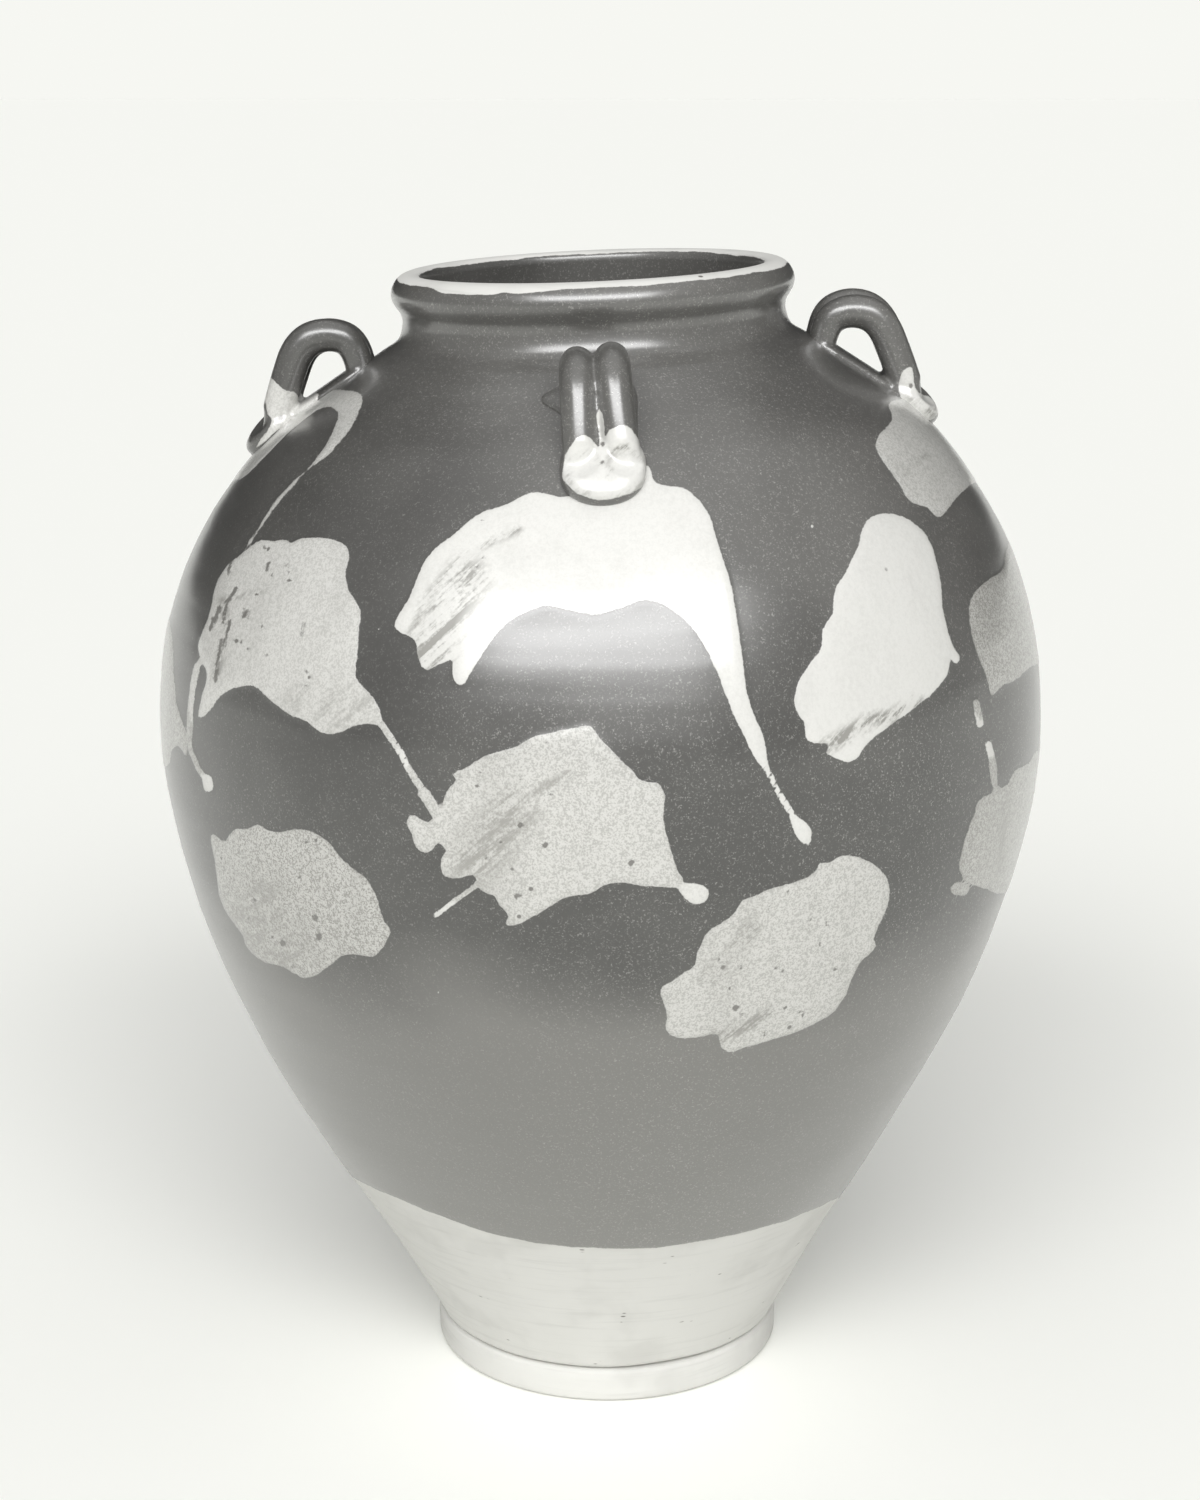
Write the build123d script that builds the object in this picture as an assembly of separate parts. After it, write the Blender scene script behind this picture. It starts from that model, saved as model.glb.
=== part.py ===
from build123d import *
import os
from math import atan2, cos, degrees, hypot, pi, radians, sin

# A glazed stoneware storage jar with four ears, in millimetres. It stands on its foot, +Z up, with
# the widest ring of the wall round the Z axis and one ear at the front, towards -Y.
# Heights are measured along the jar's centre line, which leans a little near the top.

# Wall: outer radii and heights
foot_height = 14.0
foot_radius = 70.5
belly_height = 268.0
belly_radius = 174.5
neck_seat_height = 414.6
neck_seat_flare = 10.4

# Wall: thicknesses
foot_wall = 10.5
body_wall = 9.0

# Centre line: the foot stands off the belly's axis and the shoulder leans towards the left ear
foot_drift = 2.7
drift_height = 120.0
lean_angle = 2.4
lean_start_share = 0.3

# Foot: the band round the base slab
band_overhang = 0.7
band_lower_round = 1.6
band_upper_round = 0.6
base_hollow = 1.0
base_thickness = 12.0

# Neck and rolled lip
mouth_radius = 65.5
neck_wall = 8.1
neck_rise = 16.2
lip_wall = 12.1
lip_rise = 14.5

# Ears: two rolls of clay side by side over a strap, which swells to a lobe at its lower end
roll_diameter = 11.8
roll_gap = 0.3
ear_reach = 17.5
root_depth = 20.0
strap_width = 27.0
strap_thickness = 1.8
strap_upper_reach = 23.0
strap_corner = 8.0
lobe_radius = 15.0
lobe_thickness = 6.5
lobe_round = 3.5
lobe_reach = 18.5
thumb_radius = 11.0
thumb_depth = 1.8
thumb_spread = 13.4
thumb_offset = 4.5
sunk_depth = 14.0
front_ear_rise = 20.0
right_ear_rise = 22.3
back_ear_rise = 21.3
left_ear_rise = 22.0

# Outer wall as (height, radius) shares: from the foot to the belly, then from the belly to the neck seat
lower_wall_shares = (
    (0, 0), (0.055, 0.071), (0.161, 0.210), (0.339, 0.463), (0.496, 0.661), (0.654, 0.828),
    (0.811, 0.942), (0.921, 0.987), (1, 1),
)
upper_wall_shares = (
    (0.109, 0.006), (0.218, 0.029), (0.355, 0.086), (0.491, 0.172), (0.628, 0.305), (0.764, 0.482),
    (0.834, 0.600), (0.902, 0.762), (0.955, 0.892), (1, 1),
)

# Courses of the wall, from the foot up, and the seams between them as shares of the wall's height
course_names = (
    "heel_wall", "lower_wall", "flank_wall", "belly_wall",
    "low_shoulder_wall", "shoulder_wall", "high_shoulder_wall", "neck_seat_wall",
)
seam_shares = (0.177, 0.377, 0.504, 0.634, 0.744, 0.839, 0.924)

# Neck and lip outlines as (radius, height) shares: of the flare over the neck's rise, and of the
# lip's wall over its rise
neck_curve_shares = ((1, 0), (0.53, 0.17), (0.24, 0.31), (0.06, 0.56), (0, 0.79), (0.08, 1))
lip_curve_shares = (
    (0.885, 0.17), (1, 0.455), (0.90, 0.79), (0.72, 0.95), (0.45, 1), (0.12, 0.965), (0, 0.87),
)

# One roll's path over the loop as (radial, upward) shares of the ear's reach and rise
roll_path_shares = ((-0.80, 0.87), (-0.20, 1.06), (0.43, 0.89), (0.79, 0.18))
roll_root_share = -0.88
roll_foot_share = 1.06
run_share = 0.45

# Each ear: direction round the jar in degrees, and where it is seated, as a share of the way from the
# neck's seat out to the belly's radius
ear_azimuths = {"front": -90, "right": 0, "back": 90, "left": 180}
ear_seat_shares = {"front": 0.241, "right": 0.201, "back": 0.221, "left": 0.245}
ear_rises = {"front": front_ear_rise, "right": right_ear_rise, "back": back_ear_rise, "left": left_ear_rise}

seam_overrun = 2 * belly_radius


def wall_station(share, low, high):
    """Height and radius of a station whose shares run from low to high, each a (height, radius) pair."""
    return (low[0] + share[0] * (high[0] - low[0]), low[1] + share[1] * (high[1] - low[1]))


neck_radius = mouth_radius + neck_wall
neck_seat_radius = neck_radius + neck_seat_flare
foot_point = (foot_height, foot_radius)
belly_point = (belly_height, belly_radius)
seat_point = (neck_seat_height, neck_seat_radius)
outer_stations = [wall_station(share, foot_point, belly_point) for share in lower_wall_shares]
outer_stations += [wall_station(share, belly_point, seat_point) for share in upper_wall_shares]
lean_height = belly_height + lean_start_share * (neck_seat_height - belly_height)


def centre_plane(height):
    """Plane across the jar at a height along its centre line, with its origin on that line."""
    if height <= lean_height:
        drift_share = min(max((height - foot_height) / (drift_height - foot_height), 0), 1)
        drift = foot_drift * (1 + cos(pi * drift_share)) / 2
        return Plane(origin=(drift, 0, height))
    bend_length = neck_seat_height - lean_height
    bend_radius = bend_length / radians(lean_angle)
    turn = radians(lean_angle) * min((height - lean_height) / bend_length, 1)
    straight = max(height - neck_seat_height, 0)
    x = -bend_radius * (1 - cos(turn)) - straight * sin(turn)
    z = lean_height + bend_radius * sin(turn) + straight * cos(turn)
    return Plane(origin=(x, 0, z), x_dir=(cos(turn), 0, sin(turn)), z_dir=(-sin(turn), 0, cos(turn)))


def height_at(radius):
    """Height at which the shoulder has an outer radius."""
    for (z0, r0), (z1, r1) in zip(outer_stations[::-1], outer_stations[-2::-1]):
        if radius <= r1:
            return z0 + (z1 - z0) * (radius - r0) / (r1 - r0)
    return belly_height


def inner_stations():
    """Stations of the inner wall: the outer ones moved in along the wall's normal."""
    stations = [(foot_height, foot_radius - foot_wall)]
    for before, here, after in zip(outer_stations, outer_stations[1:], outer_stations[2:]):
        thick = body_wall
        if here[0] < belly_height:
            rise_share = (here[0] - foot_height) / (belly_height - foot_height)
            thick = foot_wall + (body_wall - foot_wall) * rise_share
        along = hypot(after[0] - before[0], after[1] - before[1])
        inward = (after[0] - before[0]) / along
        upward = (after[1] - before[1]) / along
        stations.append((here[0] + thick * upward, here[1] - thick * inward))
    stations.append((neck_seat_height, mouth_radius))
    return stations


def stacked_solid(stations):
    """Solid through circles at the stations, each square to the jar's centre line."""
    return loft([centre_plane(height) * Circle(radius) for height, radius in stations])


def space_above(height):
    """Everything of the jar above a plane across the centre line."""
    return extrude(centre_plane(height) * Circle(seam_overrun), neck_seat_height)


def ring(outline, plane):
    """Ring turned from an outline in (radius, height), about the normal of a plane."""
    return plane * revolve(make_face(Plane.XZ * outline), Axis.Z)


# Wall: courses of clay, luted one on the other and thrown to one outline
wall_outer = stacked_solid(outer_stations)
course = wall_outer - stacked_solid(inner_stations())
nodes = {}
for name, share in zip(course_names, seam_shares):
    above_seam = space_above(foot_height + share * (neck_seat_height - foot_height))
    nodes[name] = course - above_seam
    course = course & above_seam
nodes[course_names[-1]] = course

# Foot: a base slab with a band of clay round it, under the heel of the wall
foot_plane = centre_plane(0)
band_radius = foot_radius + band_overhang
base_radius = foot_radius - foot_wall
base_top = min(base_hollow + base_thickness, foot_height)
band = foot_plane * extrude(Circle(band_radius) - Circle(base_radius), foot_height)
outer_edges = band.edges().filter_by(GeomType.CIRCLE).sort_by(lambda edge: edge.radius)[-2:].sort_by(Axis.Z)
band = fillet(outer_edges[0], band_lower_round)
upper_edge = band.edges().filter_by(GeomType.CIRCLE).sort_by(lambda edge: edge.center().Z + edge.radius)[-1]
nodes["foot_band"] = fillet(upper_edge, min(band_upper_round, band_overhang))
nodes["base_slab"] = foot_plane.offset(base_hollow) * extrude(Circle(base_radius), base_top - base_hollow)

# Neck: a collar that flares on to the shoulder, bored to the mouth
neck_curve = [(neck_radius + share[0] * neck_seat_flare, share[1] * neck_rise) for share in neck_curve_shares]
neck_top_radius = neck_curve[-1][0]
neck_outline = Spline(*neck_curve)
neck_outline += Polyline(neck_curve[-1], (mouth_radius, neck_rise), (mouth_radius, 0), neck_curve[0])
collar = ring(neck_outline, centre_plane(neck_seat_height))
nodes["neck_collar"] = collar

# Lip: a roll of clay on the collar, domed on top
lip_curve = [(neck_top_radius, 0)]
lip_curve += [(mouth_radius + share[0] * lip_wall, share[1] * lip_rise) for share in lip_curve_shares]
lip_outline = Spline(*lip_curve)
lip_outline += Polyline(lip_curve[-1], (mouth_radius, 0), lip_curve[0])
nodes["lip_roll"] = ring(lip_outline, centre_plane(neck_seat_height + neck_rise))


def ear_plane(radius, azimuth):
    """Plane at a radius of the shoulder's outer face: X outwards, Y round the jar, Z up its centre line."""
    plane = centre_plane(height_at(radius))
    outwards = plane.x_dir * cos(radians(azimuth)) + plane.y_dir * sin(radians(azimuth))
    return Plane(origin=plane.origin + outwards * radius, x_dir=outwards, z_dir=plane.z_dir)


def bed_plane(plane, radius, span, azimuth):
    """Plane that lies on the shoulder at a radius, in an ear's own frame, tilted as over a span."""
    upper = plane.to_local_coords(ear_plane(radius - span, azimuth).origin)
    middle = plane.to_local_coords(ear_plane(radius, azimuth).origin)
    lower = plane.to_local_coords(ear_plane(radius + span, azimuth).origin)
    slope = degrees(atan2(upper.Z - lower.Z, lower.X - upper.X))
    return Plane(origin=middle).rotated((0, slope, 0))


def ear_strap(plane, seat_radius, azimuth):
    """Strap of clay along the shoulder with a lobe at its lower end, pressed in by two thumbs."""
    strap_plane = bed_plane(plane, seat_radius, ear_reach, azimuth)
    length = strap_upper_reach + lobe_reach
    middle = (lobe_reach - strap_upper_reach) / 2
    outline = Pos(middle, 0) * RectangleRounded(length, strap_width, strap_corner)
    strap = strap_plane.offset(-sunk_depth) * extrude(outline, sunk_depth + strap_thickness)
    lobe_plane = bed_plane(plane, seat_radius + lobe_reach, lobe_radius / 2, azimuth)
    lobe = lobe_plane.offset(-sunk_depth) * extrude(Circle(lobe_radius), sunk_depth + lobe_thickness)
    rim = lobe.edges().filter_by(GeomType.CIRCLE).sort_by(lambda edge: edge.center().dot(lobe_plane.z_dir))[-1]
    lobe = fillet(rim, lobe_round)
    sphere_height = lobe_thickness - thumb_depth + thumb_radius
    for side in (-1, 1):
        thumb = lobe_plane * Pos(thumb_offset, side * thumb_spread / 2, sphere_height) * Sphere(thumb_radius)
        lobe -= thumb
    return strap + lobe


def ear_roll(rise, side):
    """One roll of clay, arched from its root under the neck down to the lobe."""
    root = (roll_root_share * ear_reach, rise - root_depth + roll_diameter / 2)
    foot = (roll_foot_share * ear_reach, -root_depth)
    bends = [(share[0] * ear_reach, share[1] * rise) for share in roll_path_shares]
    points = [root, *bends, foot]
    radii = []
    for before, here, after in zip(points, points[1:], points[2:]):
        run_in = Vector(here[0] - before[0], 0, here[1] - before[1])
        run_out = Vector(after[0] - here[0], 0, after[1] - here[1])
        half = radians(run_in.get_angle(run_out)) / 2
        radii.append(run_share * min(run_in.length, run_out.length) * cos(half) / sin(half))
    y = side * (roll_diameter + roll_gap) / 2
    path = FilletPolyline(*[(point[0], y, point[1]) for point in points], radius=radii)
    section = Plane(origin=path @ 0, z_dir=path % 0) * Circle(roll_diameter / 2)
    return sweep(section, path)


# Ears: each strap beds on the shoulder, and its two rolls are luted on to strap and shoulder
for name, azimuth in ear_azimuths.items():
    seat_radius = neck_seat_radius + ear_seat_shares[name] * (belly_radius - neck_seat_radius)
    plane = ear_plane(seat_radius, azimuth)
    strap = plane * ear_strap(plane, seat_radius, azimuth) - wall_outer - collar
    nodes[name + "_ear_strap"] = strap
    for side_name, side in (("first", -1), ("second", 1)):
        roll = plane * ear_roll(ear_rises[name], side) - wall_outer - collar
        nodes[name + "_ear_" + side_name + "_roll"] = roll - strap

os.makedirs("parts", exist_ok=True)
for name, shape in nodes.items():
    export_step(shape, "parts/" + name + ".step")
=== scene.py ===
from math import cos, pi, radians, sin

import bpy
import numpy as np
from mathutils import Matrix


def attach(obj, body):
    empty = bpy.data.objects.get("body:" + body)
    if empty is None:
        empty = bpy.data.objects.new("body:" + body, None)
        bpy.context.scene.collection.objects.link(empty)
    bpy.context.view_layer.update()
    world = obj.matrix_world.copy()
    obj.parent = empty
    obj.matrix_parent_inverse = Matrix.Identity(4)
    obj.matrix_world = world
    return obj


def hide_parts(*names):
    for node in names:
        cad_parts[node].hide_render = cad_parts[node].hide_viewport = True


# A glazed stoneware storage jar with four ears, in metres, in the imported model's own frame: it stands
# on z = 0 with the widest ring of its wall round the Z axis and one ear at the front, towards -Y.

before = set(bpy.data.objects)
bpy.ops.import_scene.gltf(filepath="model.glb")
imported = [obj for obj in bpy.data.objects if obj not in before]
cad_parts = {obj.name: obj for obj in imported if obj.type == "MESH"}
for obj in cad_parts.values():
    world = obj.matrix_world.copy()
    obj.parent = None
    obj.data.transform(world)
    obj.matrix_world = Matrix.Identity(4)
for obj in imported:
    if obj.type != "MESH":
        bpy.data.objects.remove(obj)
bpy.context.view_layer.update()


# Camera: it looks down at the jar from a little above the mouth, as the photograph does. The ladled
# glaze is drawn as outlines in the photograph's pixels, which this camera turns into places on the wall.
photo_width = 1200
photo_height = 1500
sensor_side = 36.0
lens_length = 63.744
camera_place = (-0.0003, -1.032, 0.533)
camera_dip = radians(15.22)

bpy.ops.object.select_all(action="DESELECT")
bpy.ops.object.camera_add(location=camera_place, rotation=(pi / 2 - camera_dip, 0, 0))
camera = bpy.context.object
camera.data.sensor_width = sensor_side
camera.data.lens = lens_length
camera.data.clip_end = 60
bpy.context.scene.camera = camera


def on_photo(points):
    """Where points lie in the photograph's frame, in its pixels."""
    away = points - np.array(camera_place)
    depth = away[:, 1] * cos(camera_dip) - away[:, 2] * sin(camera_dip)
    rise = away[:, 1] * sin(camera_dip) + away[:, 2] * cos(camera_dip)
    scale = photo_height * lens_length / sensor_side / depth
    return np.column_stack((photo_width / 2 + away[:, 0] * scale, photo_height / 2 - rise * scale))


# Shader maths: a socket that can be used in sums, and the tree of nodes that its sums are added to.
# The studio's own paint and light need it first, and the glaze and the clay after them.
class Amount:
    """A node's output, whose sums and products add Math nodes."""

    def __init__(self, finish, socket):
        self.finish = finish
        self.socket = socket

    def joined(self, operation, first, second):
        return self.finish.node("Math", {"operation": operation}, {0: first, 1: second})

    def __add__(self, other):
        return self.joined("ADD", self, other)

    def __radd__(self, other):
        return self.joined("ADD", other, self)

    def __sub__(self, other):
        return self.joined("SUBTRACT", self, other)

    def __rsub__(self, other):
        return self.joined("SUBTRACT", other, self)

    def __mul__(self, other):
        return self.joined("MULTIPLY", self, other)

    def __rmul__(self, other):
        return self.joined("MULTIPLY", other, self)


class Finish:
    """The nodes of one material or of the world."""

    def __init__(self, tree):
        self.tree = tree
        tree.nodes.clear()

    def node(self, kind, settings=None, inputs=None, output=0):
        """Adds a node: its settings first, then the values or links of its sockets."""
        made = self.tree.nodes.new("ShaderNode" + kind)
        for name, value in (settings or {}).items():
            setattr(made, name, value)
        for place, value in (inputs or {}).items():
            if isinstance(value, Amount):
                self.tree.links.new(value.socket, made.inputs[place])
            else:
                made.inputs[place].default_value = value
        return Amount(self, made.outputs[output]) if made.outputs else None

    def blend(self, share, first, second):
        """Colour between two, by a share from 0 to 1."""
        inputs = {0: share, 6: first, 7: second}
        return self.node("Mix", {"data_type": "RGBA"}, inputs, output=2)

    def step(self, value, low, high):
        """0 below low, 1 above high, and smooth between them."""
        settings = {"interpolation_type": "SMOOTHSTEP"}
        return self.node("MapRange", settings, {0: value, 1: low, 2: high, 3: 0.0, 4: 1.0})

    def noise(self, place, scale, detail=3.0, roughness=0.55):
        """Uneven value round 0.5, as many times a metre as the scale says."""
        inputs = {"Vector": place, "Scale": scale, "Detail": detail, "Roughness": roughness}
        return self.node("TexNoise", {}, inputs)

    def spots(self, place, scale):
        """Distance to the middle of the nearest of many scattered spots."""
        return self.node("TexVoronoi", {}, {"Vector": place, "Scale": scale})

    def within(self, value):
        """A value kept between 0 and 1."""
        return self.node("Clamp", {}, {0: value})

    def painted(self, name):
        """Value that the piece's own points carry."""
        return self.node("Attribute", {"attribute_name": name}, output=2)

    def stretched(self, place, amounts):
        """Coordinates stretched along the axes."""
        return self.node("Mapping", {}, {"Vector": place, "Scale": amounts})

    def axes(self, place):
        """The three parts of a place or way."""
        return [self.node("SeparateXYZ", {}, {0: place}, output=axis) for axis in "XYZ"]


# Floor and light: a plain pale floor that runs on into a pale backdrop, and a soft sky, dimmer behind
# the jar and brighter overhead, with one wide soft window high behind the camera, which gives the
# satin glaze its long highlight.
backdrop_colour = (0.925, 0.93, 0.89, 1.0)
floor_size = 40.0
floor_level = -0.0002

bpy.ops.object.select_all(action="DESELECT")
bpy.ops.mesh.primitive_plane_add(size=floor_size, location=(0, 0, floor_level))
floor = bpy.context.object
floor.name = "studio_floor"
floor_material = bpy.data.materials.new("studio_floor")
floor_material.use_nodes = True
floor_finish = Finish(floor_material.node_tree)
floor_paint = floor_finish.node("BsdfDiffuse", {}, {"Color": backdrop_colour})
floor_finish.node("OutputMaterial", {}, {"Surface": floor_paint})
floor.data.materials.append(floor_material)

# How bright each part of the sky is, and where its soft edges begin and end, as shares of a way's length
sky_level = 0.305
back_dim = 0.9
back_edge = (0.0, 0.6)
overhead_level = 0.44
overhead_edge = (0.75, 0.95)
window_level = 10.4
window_foot, window_head = (0.34, 0.56), (0.65, 0.77)
window_left, window_right = (-0.60, -0.40), (0.38, 0.56)
window_back = (-0.3, -0.1)
window_colour = (1.0, 1.0, 1.0, 1.0)
world = bpy.data.worlds.new("studio")
bpy.context.scene.world = world
world.use_nodes = True
sky = Finish(world.node_tree)
direction = sky.node("TexCoord", {}, output="Generated")
sideways, backwards, upwards = sky.axes(direction)
light = sky_level * (1 - sky.step(backwards, *back_edge) * back_dim)
light = light + sky.step(upwards, *overhead_edge) * overhead_level
window_height = sky.step(upwards, *window_foot) * (1 - sky.step(upwards, *window_head))
window_width = sky.step(sideways, *window_left) * (1 - sky.step(sideways, *window_right))
window = window_height * window_width * (1 - sky.step(backwards, *window_back)) * window_level
soft_light = sky.node("Background", {}, {"Color": window_colour, "Strength": light + window})
backdrop = sky.node("Background", {}, {"Color": backdrop_colour, "Strength": 1.0})
seen = sky.node("LightPath", {}, output="Is Camera Ray")
clear = sky.node("LightPath", {}, output="Is Transmission Ray")
seen_or_clear = sky.node("Math", {"operation": "MAXIMUM"}, {0: seen, 1: clear})
studio_light = sky.node("MixShader", {}, {0: seen_or_clear, 1: soft_light, 2: backdrop})
sky.node("OutputWorld", {}, {"Surface": studio_light})
bpy.context.scene.view_settings.view_transform = "Standard"


# Wall: thrown stoneware in courses, foot to neck seat, on a centre line that stands off the belly's
# axis at the foot and leans towards the left ear at the shoulder. It is turned as four bands.
foot_height = 0.014
foot_radius = 0.0705
belly_height = 0.268
belly_radius = 0.1745
neck_seat_height = 0.4146
neck_seat_radius = 0.0840
foot_wall = 0.0105
body_wall = 0.0090
mouth_radius = 0.0655
foot_drift = 0.0027
drift_height = 0.120
lean_height = 0.31198
lean_angle = radians(2.4)
row_step = 0.0016
inner_row_step = 0.007
wall_turns = 640
merge_distance = 0.00001

lower_wall_shares = (
    (0, 0), (0.055, 0.071), (0.161, 0.210), (0.339, 0.463), (0.496, 0.661), (0.654, 0.828),
    (0.811, 0.942), (0.921, 0.987), (1, 1),
)
upper_wall_shares = (
    (0.109, 0.006), (0.218, 0.029), (0.355, 0.086), (0.491, 0.172), (0.628, 0.305), (0.764, 0.482),
    (0.834, 0.600), (0.902, 0.762), (0.955, 0.892), (1, 1),
)
wall_bands = (
    ("lower_body", "thin_glaze", "heel_wall", "lower_wall"),
    ("belly", "dark_glaze", "flank_wall", "belly_wall"),
    ("shoulder", "dark_glaze", "low_shoulder_wall", "shoulder_wall"),
    ("upper_shoulder", "dark_glaze", "high_shoulder_wall", "neck_seat_wall"),
)
band_edges = (foot_height, 0.1650, belly_height, 0.3501, neck_seat_height)

station_heights, station_radii = [], []
for shares, low, high, first, last in (
    (lower_wall_shares, foot_height, belly_height, foot_radius, belly_radius),
    (upper_wall_shares, belly_height, neck_seat_height, belly_radius, neck_seat_radius),
):
    station_heights += [low + rise * (high - low) for rise, growth in shares]
    station_radii += [first + growth * (last - first) for rise, growth in shares]


def smooth_through(known, values, wanted):
    """Values of a smooth curve through known ones, which may be unevenly spaced."""
    known = np.asarray(known, float)
    values = np.asarray(values, float)
    slopes = np.gradient(values, known)
    before = np.clip(np.searchsorted(known, wanted) - 1, 0, len(known) - 2)
    span = known[before + 1] - known[before]
    share = (wanted - known[before]) / span
    rest = 1 - share
    from_start = (1 + 2 * share) * rest**2 * values[before] + share * rest**2 * span * slopes[before]
    to_end = share**2 * (1 + 2 * rest) * values[before + 1] - share**2 * rest * span * slopes[before + 1]
    return from_start + to_end


def wall_radius(height):
    """Outer radius of the wall at a height along its centre line."""
    return smooth_through(station_heights, station_radii, height)


def wall_face(height):
    """Radial and upward parts of the way that the wall's outer face looks."""
    reach = 0.0005
    slope = (wall_radius(height + reach) - wall_radius(height - reach)) / (2 * reach)
    length = np.sqrt(1 + slope**2)
    return 1 / length, -slope / length


def placed(angle, height, radius, lift=0.0):
    """Points at heights along the centre line and at angles round it, in the jar's frame."""
    share = np.clip((height - foot_height) / (drift_height - foot_height), 0, 1)
    drift = foot_drift * (1 + np.cos(pi * share)) / 2
    bend = neck_seat_height - lean_height
    turn = lean_angle * np.clip((height - lean_height) / bend, 0, 1)
    straight = np.maximum(height - neck_seat_height, 0) + lift
    bend_radius = bend / lean_angle
    x = drift - bend_radius * (1 - np.cos(turn)) - straight * np.sin(turn)
    z = np.minimum(height, lean_height) + bend_radius * np.sin(turn) + straight * np.cos(turn)
    x = x + radius * np.cos(angle) * np.cos(turn)
    z = z + radius * np.cos(angle) * np.sin(turn)
    return np.column_stack((x, radius * np.sin(angle), z))


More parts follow.
